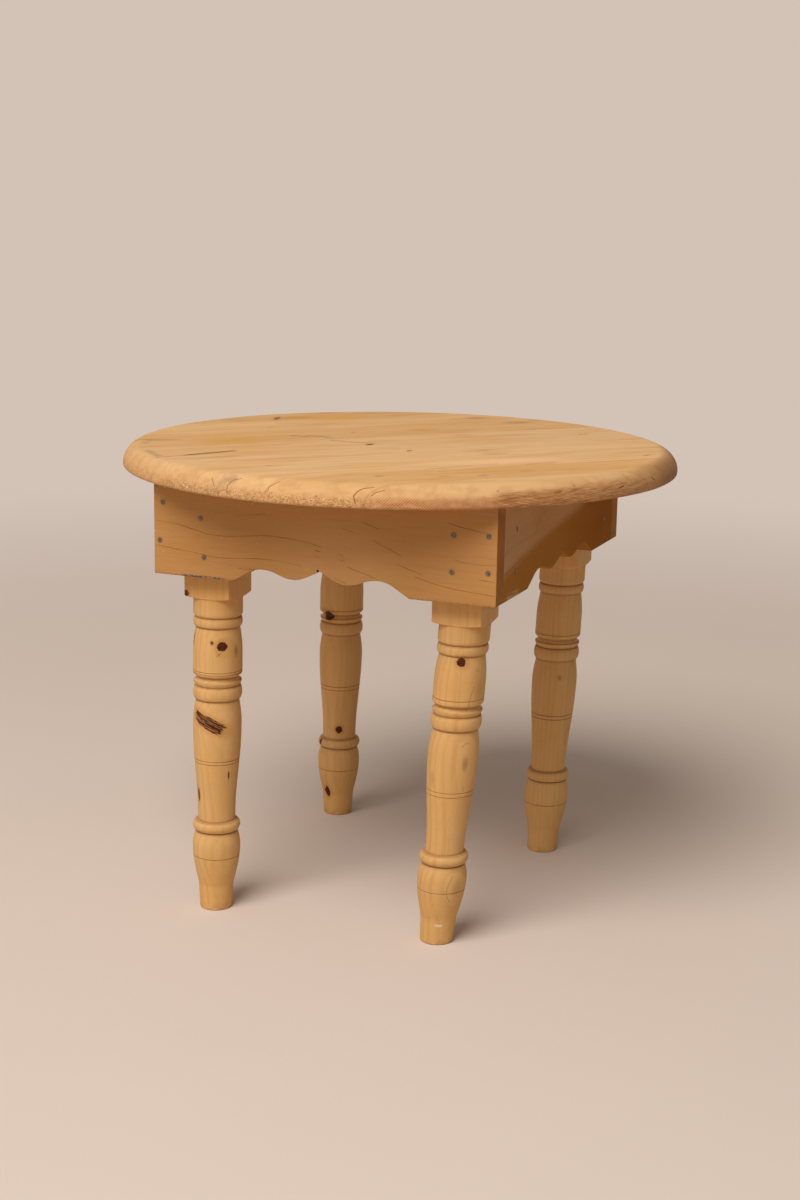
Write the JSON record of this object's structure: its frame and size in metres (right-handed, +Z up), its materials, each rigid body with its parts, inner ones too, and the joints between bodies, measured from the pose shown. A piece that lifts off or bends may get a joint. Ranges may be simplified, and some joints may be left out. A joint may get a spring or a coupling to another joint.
{
  "type": "tea table",
  "caption": "Low round rustic table: glued plank top with a rounded edge on a scalloped apron frame with turned legs set in its corners.",
  "frame": {"origin": "floor under the centre of the round top", "axes": "+Z up, +X to the right along the front apron board, front towards -Y"},
  "size_m": [0.6496, 0.6496, 0.535],
  "materials": {
    "top_pine": "worn satin wax on edge-glued pine, rough sawn marks on the lower rim",
    "apron_pine": "smooth satin stain with fine dark grain lines",
    "leg_pine": "turned pale pine with dark knots, satin",
    "cleat_pine": "plain planed pine",
    "nail_steel": "dull grey nail heads",
    "screw_steel": "zinc plated"
  },
  "bodies": {
    "root": {"apron_back": "apron_pine", "apron_back_nail_1": "nail_steel", "apron_back_nail_2": "nail_steel", "apron_back_nail_3": "nail_steel", "apron_back_nail_4": "nail_steel", "apron_back_nail_5": "nail_steel", "apron_back_nail_6": "nail_steel", "apron_back_nail_7": "nail_steel", "apron_back_nail_8": "nail_steel", "apron_front": "apron_pine", "apron_front_nail_1": "nail_steel", "apron_front_nail_2": "nail_steel", "apron_front_nail_3": "nail_steel", "apron_front_nail_4": "nail_steel", "apron_front_nail_5": "nail_steel", "apron_front_nail_6": "nail_steel", "apron_front_nail_7": "nail_steel", "apron_front_nail_8": "nail_steel", "apron_left": "apron_pine", "apron_left_nail_1": "nail_steel", "apron_left_nail_2": "nail_steel", "apron_left_nail_3": "nail_steel", "apron_left_nail_4": "nail_steel", "apron_right": "apron_pine", "apron_right_nail_1": "nail_steel", "apron_right_nail_2": "nail_steel", "apron_right_nail_3": "nail_steel", "apron_right_nail_4": "nail_steel", "cleat_back": "cleat_pine", "cleat_back_screw_1": "screw_steel", "cleat_back_screw_2": "screw_steel", "cleat_front": "cleat_pine", "cleat_front_screw_1": "screw_steel", "cleat_front_screw_2": "screw_steel", "cleat_left": "cleat_pine", "cleat_left_screw_1": "screw_steel", "cleat_left_screw_2": "screw_steel", "cleat_right": "cleat_pine", "cleat_right_screw_1": "screw_steel", "cleat_right_screw_2": "screw_steel", "leg_back_left": "leg_pine", "leg_back_right": "leg_pine", "leg_front_left": "leg_pine", "leg_front_right": "leg_pine", "top_plank_1": "top_pine", "top_plank_2": "top_pine", "top_plank_3": "top_pine", "top_plank_4": "top_pine", "top_plank_5": "top_pine", "top_plank_6": "top_pine", "top_plank_7": "top_pine", "top_plank_8": "top_pine"}
  },
  "joints": []
}
